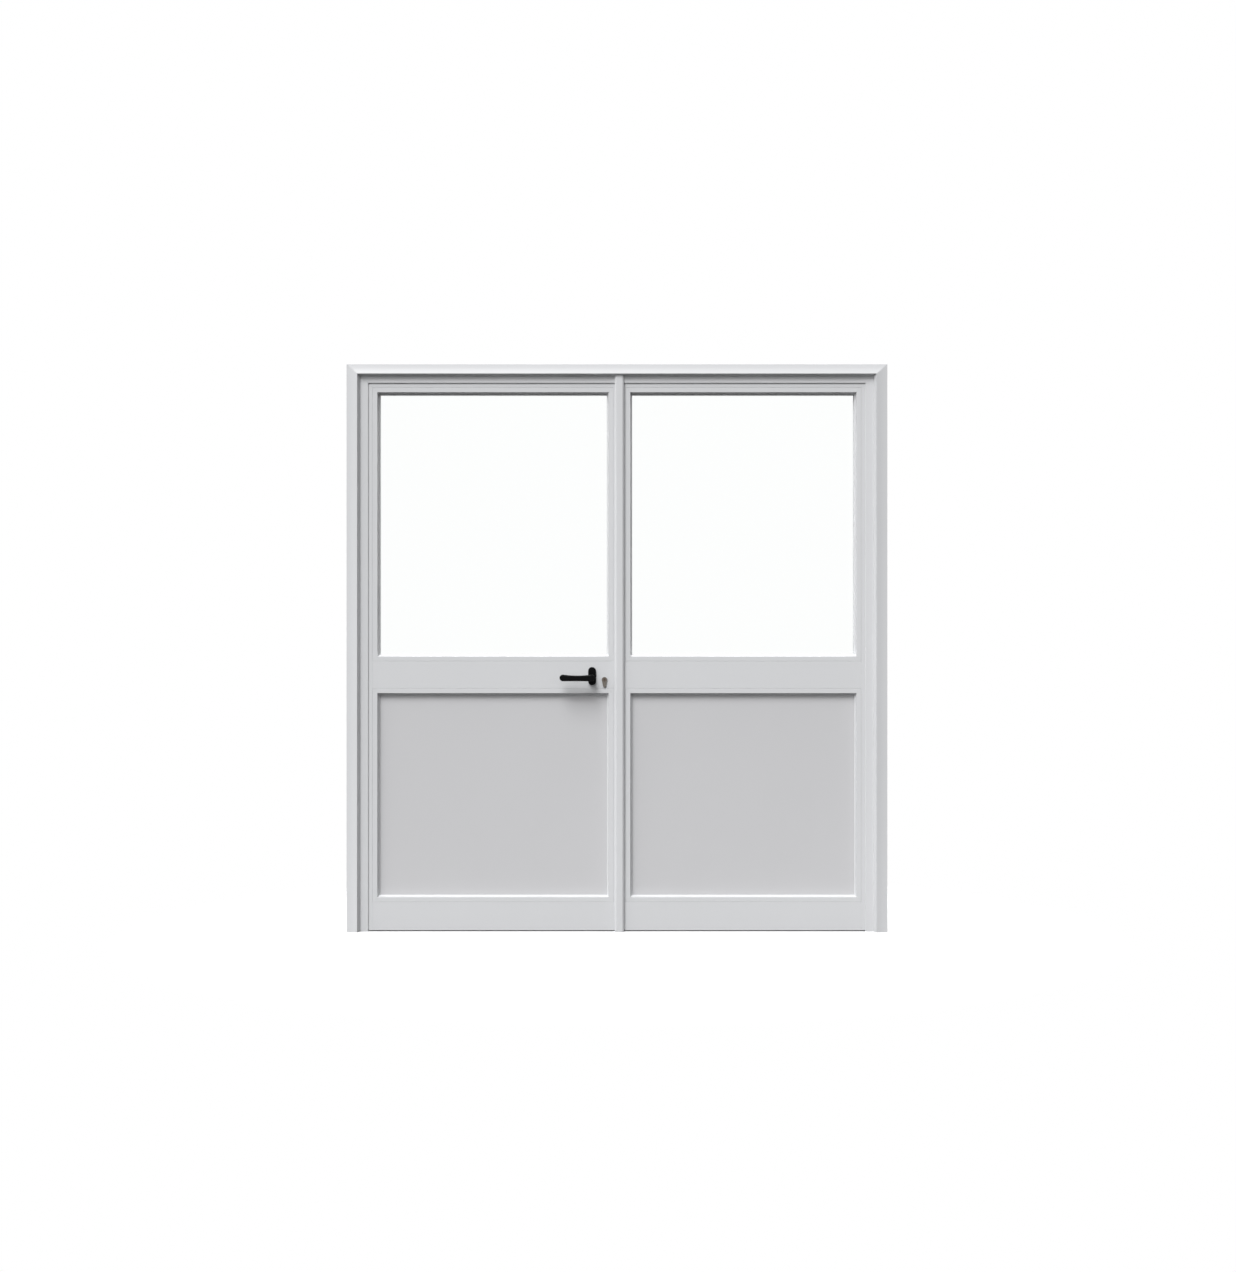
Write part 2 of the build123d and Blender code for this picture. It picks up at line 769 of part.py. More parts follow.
def leaf(name, side, meeting_x):
    """All pieces of one leaf but its lock or bolts."""
    edge_x = side * leaf_hinge_x
    inward = -side
    low = leaf_floor_gap
    hinge_place = (edge_x, inward, low, leaf_top)
    meeting_place = (meeting_x, side, low, leaf_top)
    hinge_fill = upright(stile_section(stile_face), *hinge_place)
    meeting_fill = upright(stile_section(meeting_face), *meeting_place)
    corner = (edge_x, leaf_top)
    inner = (edge_x + inward * (stile_face + bead_width), leaf_top - stile_face - bead_width)
    hinge_stile = hinge_fill - upright(stile_core(stile_face), *hinge_place)
    hinge_stile -= mitre_block(corner, inner, (inward, 1))
    meeting_stile = meeting_fill - upright(stile_core(meeting_face), *meeting_place)
    left, right = sorted((edge_x, meeting_x))
    top_rail = hollow(level, stile_section(stile_face), stile_core(stile_face), leaf_top, -1, left, right)
    top_rail -= mitre_block(corner, inner, (side, -1))
    lock_rail = hollow(level, lock_rail_section, lock_rail_core, lock_rail_bottom, 1, left, right)
    bottom_section = stile_section(bottom_rail_height)
    bottom_core = stile_core(bottom_rail_height)
    bottom_rail = hollow(level, bottom_section, bottom_core, low, 1, left, right)
    if side < 0:
        meeting_stile = lock_stile_cuts(meeting_stile)
        lock_rail = lock_holes(lock_rail)
    keep(name + "_hinge_stile", drill_hinge_screws(hinge_stile, side, True))
    keep(name + "_meeting_stile", meeting_stile)
    keep(name + "_top_rail", top_rail - meeting_fill)
    keep(name + "_lock_rail", lock_rail - meeting_fill - hinge_fill)
    keep(name + "_bottom_rail", bottom_rail - meeting_fill - hinge_fill)

    hinge_end = edge_x + inward * stile_face
    meeting_end = meeting_x + side * meeting_face
    stile_hollow = (profile_wall, stile_face - profile_wall)
    cleats = [
        elbow(corner, side, stile_hollow, leaf_cleat_reach, around(-cleat_depth / 2, cleat_depth)),
        spigot(meeting_end, side, leaf_top - stile_face, leaf_top),
        spigot(hinge_end, inward, lock_rail_bottom, lock_rail_top),
        spigot(hinge_end, inward, low, bottom_rail_top),
        spigot(meeting_end, side, low, bottom_rail_top),
    ]
    if side > 0:
        cleats.append(spigot(meeting_end, side, lock_rail_bottom, lock_rail_top))
    keep(name + "_corner_cleats", *cleats)

    opening_x = tuple(sorted((hinge_end, meeting_end)))
    glass_z = (lock_rail_top, leaf_top - stile_face)
    panel_z = (bottom_rail_top, lock_rail_bottom)
    glass, glass_beads, glass_gaskets, glass_blocks = infill(opening_x, glass_z, glass_thickness)
    panel, panel_beads, panel_gaskets, panel_blocks = infill(opening_x, panel_z, panel_thickness)
    keep(name + "_glass", glass)
    keep(name + "_panel", panel)
    keep(name + "_beads", *glass_beads, *panel_beads)
    keep(name + "_gaskets", *glass_gaskets, *panel_gaskets)
    keep(name + "_setting_blocks", *glass_blocks, *panel_blocks)
    sweep_z = (low - sweep_thickness, low)
    keep(name + "_bottom_sweep", block(opening_x, around(0, sweep_width), sweep_z))
    keep(name + "_hinge_plates", *[leaf_hinge(side, height) for height in hinge_heights])
    keep(name + "_hinge_screws", *[hinge_screw(x, z, 0) for x, z in hinge_screw_places(side, True)])


leaf("left", -1, left_meeting_x)
leaf("right", 1, right_meeting_x)


# Handle
rosette_front = leaf_front - rosette_thickness
lever_front = leaf_front - lever_projection
lever_back = lever_front + lever_depth


def mirrored(shape):
    """The same piece on the back of the leaf."""
    return mirror(shape, about=Plane.XZ)


def rosette():
    """Pill-shaped plate on the front of the lock rail, before its screw holes."""
    length = rosette_length - rosette_width
    outline = Rot(0, 0, 90) * SlotCenterToCenter(length, rosette_width)
    plane = Plane(origin=(spindle_x, leaf_front, rosette_height_centre), x_dir=(1, 0, 0), z_dir=(0, -1, 0))
    shape = extrude(plane * outline, amount=rosette_thickness)
    shape = fillet(shape.faces().sort_by(Axis.Y)[0].edges(), rosette_edge)
    hole_y = (leaf_front + cut_overrun, rosette_front - cut_overrun)
    start = (spindle_x, hole_y[0], spindle_height)
    return shape - rod(start, (spindle_x, hole_y[1], spindle_height), spindle_hole_radius)


rosette_screw_front = leaf_front - rosette_thickness / 2
rosette_head_seat = leaf_back + rosette_thickness - rosette_screw_head_depth


def rosette_screw(z, clearance):
    """Through screw of the rosettes, with its head sunk in the rear one."""
    face = leaf_back + rosette_thickness + clearance
    shank_end = (spindle_x, rosette_head_seat, z)
    shank = rod((spindle_x, rosette_screw_front, z), shank_end, rosette_screw_radius + clearance)
    return shank + rod(shank_end, (spindle_x, face, z), rosette_screw_head_radius + clearance)


def waist_touch(end_radius, reach, waist):
    """Where a hollow long edge of the lever runs into its round end, from the middle of that end."""
    dip = end_radius - waist
    rise = ((reach / 2) ** 2 - dip**2) / (2 * dip)
    share = end_radius / (rise + dip)
    return share * reach / 2, share * rise


def lever():
    """Lever on the front, reaching towards the hinge side, with a socket for the spindle."""
    end_radius = (lever_end_above + lever_end_below) / 2
    end_middle = lever_end_above - end_radius
    reach = lever_reach + lever_neck_radius - end_radius
    top_in, top_up = waist_touch(end_radius, reach, lever_waist_above - end_middle)
    foot_in, foot_down = waist_touch(end_radius, reach, lever_waist_below + end_middle)
    hub_top = (-top_in, end_middle + top_up)
    hub_foot = (-foot_in, end_middle - foot_down)
    tip_top = (top_in - reach, end_middle + top_up)
    tip_foot = (foot_in - reach, end_middle - foot_down)
    outline = make_face(
        [
            ThreePointArc(hub_top, (end_radius, end_middle), hub_foot),
            ThreePointArc(hub_foot, (-reach / 2, -lever_waist_below), tip_foot),
            ThreePointArc(tip_foot, (-reach - end_radius, end_middle), tip_top),
            ThreePointArc(tip_top, (-reach / 2, lever_waist_above), hub_top),
        ]
    )
    plane = Plane(origin=(spindle_x, lever_front, spindle_height), x_dir=(1, 0, 0), z_dir=(0, -1, 0))
    grip = extrude(plane * outline, amount=lever_depth, dir=(0, 1, 0))
    grip = fillet(grip.edges().filter_by(GeomType.LINE, reverse=True), lever_edge)
    neck_start = (spindle_x, rosette_front - moving_gap, spindle_height)
    neck_end = (spindle_x, lever_front + lever_depth / 2, spindle_height)
    neck = rod(neck_start, neck_end, lever_neck_radius)
    return grip + neck - spindle_bar(slip_fit)


def spindle_bar(clearance):
    """Square bar that joins the two levers."""
    size = spindle_size + 2 * clearance
    reach = 2 * (-lever_front - lever_depth / 2 + clearance)
    return block(around(spindle_x, size), around(0, reach), around(spindle_height, size))


def tooth(root, tip):
    """Tooth in the XZ plane from a root height to a tip height, across the thickness of the pinion."""
    half_root = tooth_root_width / 2
    half_tip = tooth_tip_width / 2
    front = -pinion_thickness / 2
    corners = [(-half_root, root), (half_root, root), (half_tip, tip), (-half_tip, tip)]
    return bar([(x, front, z) for x, z in corners], (0, 1, 0), pinion_thickness)


def spindle_pinion():
    """Toothed wheel on the spindle, in mesh with the rack of the handle bolt."""
    root = pinion_pitch_radius - tooth_height / 2 - slip_fit
    tip = pinion_pitch_radius + tooth_height / 2 - slip_fit
    half = pinion_thickness / 2
    shape = rod((0, -half, 0), (0, half, 0), root)
    for step in range(pinion_teeth):
        shape += Rot(0, 360 / pinion_teeth * step, 0) * tooth(root - slip_fit, tip)
    return Pos(spindle_x, 0, spindle_height) * shape - spindle_bar(running_fit)


front_rosette = rosette()
rear_rosette = mirrored(front_rosette)
screw_rows = around(rosette_height_centre, rosette_screw_spacing)
for row_z in screw_rows:
    front_rosette -= rosette_screw(row_z, running_fit)
    rear_rosette -= rosette_screw(row_z, running_fit)
keep("rosettes", front_rosette, rear_rosette)
keep("rosette_screws", *[rosette_screw(z, 0) for z in screw_rows])
front_lever = lever()
keep("front_lever", front_lever)
keep("rear_lever", mirrored(front_lever))
keep("spindle", spindle_bar(0))
keep("spindle_pinion", spindle_pinion())


# Lock
def bolt_windows(shape, play):
    """Take the way out of both bolts through the front of the lock."""
    reach = (forend_back - lock_case_wall - cut_overrun, left_meeting_x + cut_overrun)
    window_y = around(0, bolt_thickness + 2 * play)
    for low, high in ((bolt_low, bolt_high), (deadbolt_low, deadbolt_high)):
        shape -= block(reach, window_y, (low - play, high + play))
    return shape


def lock_case():
    """Sheet case of the lock, open where bolts, spindle, cylinder and screws pass."""
    x = (forend_back - lock_case_length, forend_back)
    y = around(0, lock_case_thickness)
    z = (lock_case_low, lock_case_high)
    inside = [inset_limits(limits, lock_case_wall) for limits in (x, y, z)]
    return lock_holes(bolt_windows(block(x, y, z) - block(*inside), moving_gap))


def handle_bolt():
    """Flat bolt with a rack under its tail."""
    tail = spindle_x - bolt_tail_behind_spindle
    shape = block((tail, bolt_tip), around(0, bolt_thickness), (bolt_low, bolt_high))
    tip_z = spindle_height + pinion_pitch_radius - tooth_height / 2 + slip_fit
    count = int(bolt_tail_behind_spindle / tooth_pitch)
    for step in range(-count, 2):
        rack_tooth = tooth(bolt_low + slip_fit, tip_z)
        shape += Pos(spindle_x + (step - 1 / 2) * tooth_pitch, 0, 0) * rack_tooth
    return shape


def key_plug():
    """Key plug with its keyway and the cam at its middle."""
    reach = leaf_thickness / 2 + cylinder_projection + plug_proud
    shape = rod((plug_x, -reach, plug_height), (plug_x, reach, plug_height), plug_radius)
    finger_z = (plug_height, plug_height + cam_finger_radius)
    shape += block(around(plug_x, cam_finger_width), around(0, cam_thickness), finger_z)
    keyway_x = around(plug_x, keyway_width)
    keyway_z = around(plug_height, keyway_height)
    for side in (-1, 1):
        shape -= block(keyway_x, (side * (reach - keyway_depth), side * (reach + cut_overrun)), keyway_z)
    return shape


def cylinder_body():
    """Pear-shaped lock cylinder, bored for the plug and open round its cam."""
    reach = leaf_thickness / 2 + cylinder_projection
    shape = cylinder_bar(0, -reach, reach)
    through = reach + cut_overrun
    bore = plug_radius + running_fit
    shape -= rod((plug_x, -through, plug_height), (plug_x, through, plug_height), bore)
    half_gap = cam_gap / 2
    sweep = cam_finger_radius + moving_gap
    return shape - rod((plug_x, -half_gap, plug_height), (plug_x, half_gap, plug_height), sweep)


keep("lock_case", lock_case())
keep("lock_forend", bolt_windows(block((forend_back, left_meeting_x), forend_y, forend_z), moving_gap))
keep("handle_bolt", handle_bolt())
keep("cylinder_body", cylinder_body())
keep("key_plug", key_plug())
deadbolt_x = (bolt_tip - deadbolt_length, bolt_tip)
keep("deadbolt", block(deadbolt_x, around(0, bolt_thickness), (deadbolt_low, deadbolt_high)))


# Slide bolts
def slide_case(z):
    """Case of a slide bolt, bored for its rod and slotted for its knob."""
    near = right_meeting_x + slide_case_setback
    x = (near, near + slide_case_length)
    y = (leaf_back, leaf_back + slide_case_depth)
    shape = block(x, y, around(z, slide_case_height))
    shape = fillet(shape.faces().sort_by(Axis.Y)[-1].edges(), slide_case_edge)
    start = (near - cut_overrun, slide_rod_y, z)
    end = (x[1] + cut_overrun, slide_rod_y, z)
    shape -= rod(start, end, slide_rod_radius + running_fit)
    half = slide_knob_radius + moving_gap
    knob_x = right_meeting_x + slide_rod_setback + slide_knob_from_tip
    slot_x = (knob_x - slide_throw - half, knob_x + half)
    return shape - block(slot_x, (slide_rod_y, y[1] + cut_overrun), around(z, 2 * half))


def slide_bolt(z):
    """Rod of a slide bolt with its knob."""
    tip = right_meeting_x + slide_rod_setback
    shape = rod((tip, slide_rod_y, z), (tip + slide_rod_length, slide_rod_y, z), slide_rod_radius)
    knob_x = tip + slide_knob_from_tip
    knob_end = slide_rod_y + slide_knob_reach
    shape += rod((knob_x, slide_rod_y, z), (knob_x, knob_end, z), slide_knob_radius)
    return shape + Pos(knob_x, knob_end, z) * Sphere(slide_knob_ball_radius)


def slide_keep(z):
    """Keep on the back of the post's web that takes the rod of a slide bolt."""
    x = around(post_x, post_web_width)
    shape = block(x, (leaf_back, leaf_back + keep_depth), around(z, slide_case_height))
    start = (x[0] - cut_overrun, slide_rod_y, z)
    return shape - rod(start, (x[1] + cut_overrun, slide_rod_y, z), slide_rod_radius + keep_play)


slide_heights = (slide_bolt_low, slide_bolt_high)
keep("slide_bolt_cases", *[slide_case(z) for z in slide_heights])
keep("slide_bolt_lower", slide_bolt(slide_bolt_low))
keep("slide_bolt_upper", slide_bolt(slide_bolt_high))
keep("slide_bolt_keeps", *[slide_keep(z) for z in slide_heights])

os.makedirs("parts", exist_ok=True)
for node, shape in nodes.items():
    export_step(shape, f"parts/{node}.step")
print(len(nodes), "nodes")
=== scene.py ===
"""Looks of a pair of french doors: two glazed leaves on a fixed centre post in a cased frame."""

import json
import math

import bmesh
import bpy
from bpy.props import FloatProperty, FloatVectorProperty, PointerProperty
from mathutils import Matrix, Vector

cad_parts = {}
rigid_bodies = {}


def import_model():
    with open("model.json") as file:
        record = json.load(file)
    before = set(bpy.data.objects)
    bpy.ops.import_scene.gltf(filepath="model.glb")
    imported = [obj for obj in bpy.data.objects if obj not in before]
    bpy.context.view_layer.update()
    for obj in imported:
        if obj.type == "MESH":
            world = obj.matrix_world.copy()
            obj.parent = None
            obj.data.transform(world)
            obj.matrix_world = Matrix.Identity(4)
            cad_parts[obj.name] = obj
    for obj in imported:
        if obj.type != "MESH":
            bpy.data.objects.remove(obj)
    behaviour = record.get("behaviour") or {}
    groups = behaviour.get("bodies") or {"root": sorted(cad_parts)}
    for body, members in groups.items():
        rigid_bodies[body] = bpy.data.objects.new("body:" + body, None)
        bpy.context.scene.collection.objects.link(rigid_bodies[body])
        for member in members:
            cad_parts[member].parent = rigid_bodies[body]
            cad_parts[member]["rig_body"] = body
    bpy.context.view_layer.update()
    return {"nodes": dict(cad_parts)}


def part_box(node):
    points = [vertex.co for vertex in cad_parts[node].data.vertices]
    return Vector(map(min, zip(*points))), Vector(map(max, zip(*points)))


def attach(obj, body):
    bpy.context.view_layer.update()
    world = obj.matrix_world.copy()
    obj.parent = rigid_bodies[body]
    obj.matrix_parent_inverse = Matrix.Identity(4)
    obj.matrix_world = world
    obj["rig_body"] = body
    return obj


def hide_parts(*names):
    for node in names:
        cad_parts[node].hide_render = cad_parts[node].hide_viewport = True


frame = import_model()

bl_info = {
    "name": "French Doors",
    "version": (1, 0, 0),
    "blender": (4, 5, 0),
    "location": "3D View > Sidebar > French Doors",
    "description": "Dresses a pair of french doors with eased edges, fittings, finishes and a studio",
    "category": "Object",
}

MERGE_DISTANCE = 2e-6
FLAT_ANGLE = math.radians(0.4)
SHARP_ANGLE = math.radians(25)
CREASE_ANGLE = math.radians(50)
SHORTEST_EASED_EDGE = 0.006
EASED_SEGMENTS = 2
ROUND_SEGMENTS = 5
TURNED_STEPS = 48
ROSETTE_CORNERS = 64

# Hollow of a bead's slope: its deepest line, as shares of the slope's width and depth
COVE_ACROSS = 0.22
COVE_DEEP = 0.7

# Six-lobed recess of a screw: shares of the head's radius and depth, and radii round one lobe
RECESS_CORNERS = 24
RECESS_ACROSS = 0.5
RECESS_DEEP = 0.55
LOBE_RADII = (1.0, 0.93, 0.78, 0.93)
ROSETTE_SHANK = 0.55

# Screw cap from its rim to its middle: shares of its radius, and heights over the rosette in metres
CAP_OUTLINE = (
    (1, -0.0004),
    (1, 0.0002),
    (0.9, 0.0005),
    (0.78, 0.0004),
    (0.7, -0.0001),
    (0.4, -0.0003),
    (0, -0.0003),
)

# Directions in which metal is brushed, as stretches of the pattern along the axes
DRAWN_UPRIGHT = (1, 1, 0.05)
TURNED_ON_END = (1, 0.1, 1)
GROUND_UPRIGHT = (1, 1, 0.1)

# Lamps: name, property with the strength, spread in degrees, bearing to the left and up in degrees
LAMPS = (
    ("key_light", "key", 30, (20, 52)),
    ("side_light", "side", 70, (50, 38)),
    ("back_light", "back", 40, (205, 48)),
)

# Backdrop and floor
HORIZON = 0.35
FLOOR_HALF = 6
FLOOR_TONE = (0.9, 0.9, 0.9)
FLOOR_BOUNCE = (0.08, 0.08, 0.08)
FLOOR_STRETCH = (0.8, 1, 1)
FLOOR_FADE_START = 0.9
FLOOR_FADE_END = 1.5
SENSOR_WIDTH = 36


def shade(red, green, blue):
    """Linear colour from the eight-bit values that a paint chart gives."""

    def channel(value):
        value /= 255
        if value <= 0.04045:
            return value / 12.92
        return ((value + 0.055) / 1.055) ** 2.4

    return (channel(red), channel(green), channel(blue))


def colour(name, description, value):
    """Property for one finish's colour."""
    return FloatVectorProperty(
        name=name, description=description, subtype="COLOR", size=3, min=0, max=1, default=value
    )


def length(name, description, value):
    """Property for one length in metres."""
    return FloatProperty(name=name, description=description, unit="LENGTH", min=0, default=value)


def strength(name, description, value):
    """Property for the strength of one light."""
    return FloatProperty(name=name, description=description, min=0, default=value)


class DoorFinishes(bpy.types.PropertyGroup):
    """Colours of the doors' finishes"""

    coat: colour("Coat", "Powder coat on frame, casing and leaves", shade(212, 213, 215))
    panel: colour("Panel", "Coat of the solid lower panels", shade(201, 201, 203))
    glass: colour("Glass", "Tint of the panes", (0.985, 0.995, 0.99))
    rubber: colour("Rubber", "Gaskets, seals and sweeps", shade(158, 159, 161))
    packer: colour("Packers", "Setting blocks under the panes", shade(72, 72, 78))
    mill: colour("Mill aluminium", "Cleats inside the profiles", shade(176, 177, 180))
    black: colour("Handle black", "Satin paint on levers and rosettes", shade(5, 5, 6))
    nickel: colour("Nickel", "Body of the lock cylinder", shade(112, 107, 101))
    brass: colour("Plug brass", "Key plug", shade(106, 96, 88))
    steel: colour("Steel", "Pins, screws and bolts", shade(168, 168, 171))


class DoorSizes(bpy.types.PropertyGroup):
    """Small sizes that the bare solids leave out"""

    profile_ease: length("Profile edge", "Rounding on the edges of the profiles", 0.0005)
    bead_width: length("Bead width", "Width of a glazing bead, slope and all", 0.025)
    bead_flat: length("Bead flat", "Flat face of a glazing bead", 0.018)
    bead_cove: length("Bead cove", "Rounding in the hollow of a bead's slope", 0.004)
    bead_fit: length("Bead fit", "Gap between a bead and its profile", 0.0003)
    fitting_ease: length("Fitting edge", "Rounding on the edges of hinges and bolts", 0.0006)
    lock_ease: length("Lock edge", "Rounding on the edges of the lock's pieces", 0.0004)
    hinge_screw_flare: length("Screw flare", "Depth of a hinge screw's countersunk head", 0.002)
    rosette_screw_head: length("Rosette screw head", "Depth of a rosette screw's head", 0.002)
    rosette_screw_crown: length("Rosette screw crown", "Height of a rosette screw's crown", 0.0006)
    rosette_edge: length("Rosette edge", "Rounding on the face of a rosette", 0.0022)
    collar_bore: length("Collar bore", "Radius of the hole for the lever's neck", 0.0113)
    collar_radius: length("Collar radius", "Outer radius of the collar on a rosette", 0.0138)
    collar_rise: length("Collar rise", "Height of the collar over the rosette", 0.003)
    cap_radius: length("Cap radius", "Radius of the screw cap on the front rosette", 0.0048)
    cap_offset: length("Cap offset", "Screw cap's height over the rosette's middle", 0.024)
    peel_height: length("Coat peel", "Height of the ripple in the powder coat", 0.00006)


class DoorStage(bpy.types.PropertyGroup):
    """Studio round the doors"""

    key: strength("Key", "Strength of the key light, upper left", 2.5)
    side: strength("Side", "Strength of the wide light from the left", 0.75)
    back: strength("Back", "Strength of the light behind the doors", 1.8)
    sky: strength("Sky", "Soft light from above", 0.62)
    ground: strength("Ground", "Soft light from below", 0.02)
    lean: strength("Lean", "Share by which the left sky is brighter", 0.85)
    lens: FloatProperty(name="Lens", description="Focal length in millimetres", default=46.02)
    camera_distance: length("Camera distance", "From the leaves' middle plane to the camera", 6.05)
    camera_height: length("Camera height", "Height of the camera over the floor", 1.095)
    camera_aside: length("Camera aside", "Camera's offset to the right", 0.004)


class Wire:
    """One output of a node; arithmetic on wires adds Math nodes."""

    def __init__(self, look, socket):
        self.look = look
        self.socket = socket

    def math(self, operation, first, second):
        return self.look.node("ShaderNodeMath", {"operation": operation}, {0: first, 1: second})

    def __add__(self, other):
        return self.math("ADD", self, other)

    def __radd__(self, other):
        return self.math("ADD", other, self)

    def __sub__(self, other):
        return self.math("SUBTRACT", self, other)

    def __rsub__(self, other):
        return self.math("SUBTRACT", other, self)

    def __mul__(self, other):
        return self.math("MULTIPLY", self, other)

    def __rmul__(self, other):
        return self.math("MULTIPLY", other, self)


class Look:
    """Node tree of one material or of the world."""

    def __init__(self, owner):
        owner.use_nodes = True
        self.owner = owner
        self.tree = owner.node_tree
        self.tree.nodes.clear()

    def node(self, kind, settings=None, sockets=None, output=0):
        """Add a node: its settings first, then the values or links of its sockets."""
        made = self.tree.nodes.new(kind)
        for name, value in (settings or {}).items():
            setattr(made, name, value)
        for name, value in (sockets or {}).items():
            if isinstance(value, Wire):
                self.tree.links.new(value.socket, made.inputs[name])
            else:
                made.inputs[name].default_value = value
        return Wire(self, made.outputs[output] if made.outputs else None)

    def place(self, stretch=(1, 1, 1)):
        """Object coordinates, stretched along the axes."""
        here = self.node("ShaderNodeTexCoord", output="Object")
        return self.node("ShaderNodeMapping", {}, {"Vector": here, "Scale": stretch})

    def noise(self, scale, detail, stretch=(1, 1, 1)):
        """Noise value round one half, with so many lumps to the metre."""
        sockets = {"Vector": self.place(stretch), "Scale": scale, "Detail": detail, "Roughness": 0.5}
        return self.node("ShaderNodeTexNoise", {}, sockets, "Fac")

    def mix(self, share, first, second):
        """Colour between two colours."""
        ends = {"Factor": share, "A": first, "B": second}
        made = self.tree.nodes.new("ShaderNodeMix")
        made.data_type = "RGBA"
        for socket in made.inputs:
            if socket.enabled and socket.name in ends:
                value = ends[socket.name]
                if isinstance(value, Wire):
                    self.tree.links.new(value.socket, socket)
                elif socket.name == "Factor":
                    socket.default_value = value
                else:
                    socket.default_value = (*value, 1)
        return Wire(self, next(socket for socket in made.outputs if socket.enabled))

    def bump(self, height, distance):
        """Normal tilted by a height that runs from nought to one."""
        return self.node("ShaderNodeBump", {}, {"Height": height, "Distance": distance, "Strength": 1.0})

    def surface(self, sockets):
        """Principled surface as the material's output."""
        skin = self.node("ShaderNodeBsdfPrincipled", {}, sockets)
        self.output(skin)

    def output(self, shader):
        """Link a shader to the tree's output."""
        kind = "ShaderNodeOutputMaterial"
        if isinstance(self.owner, bpy.types.World):
            kind = "ShaderNodeOutputWorld"
        self.node(kind, {}, {"Surface": shader})


def tinted(tone, factor):
    """Colour made lighter or darker."""
    return tuple(min(1.0, value * factor) for value in tone)


def new_look(name):
    """Empty node tree of a new finish."""
    return Look(bpy.data.materials.new(name + "_finish"))


def coat_finish(name, tone, roughness, peel):
    """Powder coat: fine peel, faint cloudiness and speckle."""
    look = new_look(name)
    cloud = look.noise(2.2, 3)
    speckle = look.noise(1400, 1)
    base = look.mix(0.55 * cloud + 0.45 * speckle, tinted(tone, 0.965), tinted(tone, 1.035))
    ripple = 0.7 * look.noise(420, 2) + 0.3 * look.noise(1500, 1)
    look.surface(
        {
            "Base Color": base,
            "Roughness": roughness - 0.06 + 0.12 * look.noise(60, 3),
            "Normal": look.bump(ripple, peel),
        }
    )
    return look.owner


def glass_finish(tone):
    """Clear float glass with a trace of unevenness in its polish."""
    look = new_look("clear_glass")
    look.surface(
        {
            "Base Color": look.mix(look.noise(1.5, 2), tinted(tone, 0.995), tone),
            "Roughness": 0.004 * look.noise(3, 2),
            "Transmission Weight": 1.0,
            "IOR": 1.45,
        }
    )
    return look.owner


def rubber_finish(tone):
    """Dull extruded rubber with fine streaks along it."""
    look = new_look("grey_rubber")
    look.surface(
        {
            "Base Color": look.mix(look.noise(300, 3), tinted(tone, 0.85), tinted(tone, 1.12)),
            "Roughness": 0.62 + 0.2 * look.noise(500, 2),
            "Normal": look.bump(look.noise(1200, 2), 0.00008),
            "Specular IOR Level": 0.3,
        }
    )
    return look.owner


def packer_finish(tone):
    """Moulded plastic of the setting blocks."""
    look = new_look("packer_plastic")
    look.surface(
        {
            "Base Color": look.mix(look.noise(180, 2), tinted(tone, 0.9), tinted(tone, 1.1)),
            "Roughness": 0.45 + 0.15 * look.noise(250, 2),
            "Normal": look.bump(look.noise(900, 2), 0.00005),
        }
    )
    return look.owner


def metal_finish(name, tone, roughness, stretch):
    """Bare metal brushed along one way."""
    look = new_look(name)
    streak = look.noise(900, 3, stretch)
    wear = 0.6 * streak + 0.4 * look.noise(25, 3)
    look.surface(
        {
            "Base Color": look.mix(wear, tinted(tone, 0.86), tinted(tone, 1.1)),
            "Roughness": roughness - 0.08 + 0.16 * streak,
            "Metallic": 1.0,
            "Normal": look.bump(streak, 0.00003),
        }
    )
    return look.owner


def black_finish(tone):
    """Satin black stoved paint."""
    look = new_look("black_handle")
    look.surface(
        {
            "Base Color": look.mix(look.noise(90, 3), tinted(tone, 0.8), tinted(tone, 1.3)),
            "Roughness": 0.34 + 0.14 * look.noise(240, 3),
            "Normal": look.bump(look.noise(1100, 2), 0.00005),
            "Specular IOR Level": 0.06,
        }
    )
    return look.owner


def finish_maker(slot):
    """Make the finish of one of the record's slots."""
    tones = bpy.context.scene.door_finishes
    peel = bpy.context.scene.door_sizes.peel_height
    makers = {
        "grey_coat": lambda: coat_finish(slot, tones.coat, roughness=0.42, peel=peel),
        "grey_panel": lambda: coat_finish(slot, tones.panel, roughness=0.5, peel=peel),
        "hinge_coat": lambda: coat_finish(slot, tones.coat, roughness=0.38, peel=peel),
        "clear_glass": lambda: glass_finish(tones.glass),
        "grey_rubber": lambda: rubber_finish(tones.rubber),
        "packer_plastic": lambda: packer_finish(tones.packer),
        "mill_aluminium": lambda: metal_finish(slot, tones.mill, 0.4, DRAWN_UPRIGHT),
        "nickel_brass": lambda: metal_finish(slot, tones.nickel, 0.36, TURNED_ON_END),
        "plug_brass": lambda: metal_finish(slot, tones.brass, 0.38, TURNED_ON_END),
        "bright_steel": lambda: metal_finish(slot, tones.steel, 0.3, GROUND_UPRIGHT),
        "black_handle": lambda: black_finish(tones.black),
    }
    return makers[slot]()


def finish(slot):
    """Finish of one of the record's slots, made when it is first asked for."""
    return bpy.data.materials.get(slot + "_finish") or finish_maker(slot)


def piece(name, shape, body, slot, *stands_for):
    """Object made from a bmesh, riding on a body, with its finish and the nodes that it stands for."""
    for face in shape.faces:
        face.smooth = True
    for edge in shape.edges:
        edge.smooth = not edge.is_manifold or edge.calc_face_angle() < CREASE_ANGLE
    mesh = bpy.data.meshes.new(name)
    shape.to_mesh(mesh)
    shape.free()
    mesh.materials.append(finish(slot))
    made = bpy.data.objects.new(name, mesh)
    bpy.context.scene.collection.objects.link(made)
    made.modifiers.new("flat_face_normals", "WEIGHTED_NORMAL").keep_sharp = True
    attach(made, body)
    if stands_for:
        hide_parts(*stands_for)
    return made


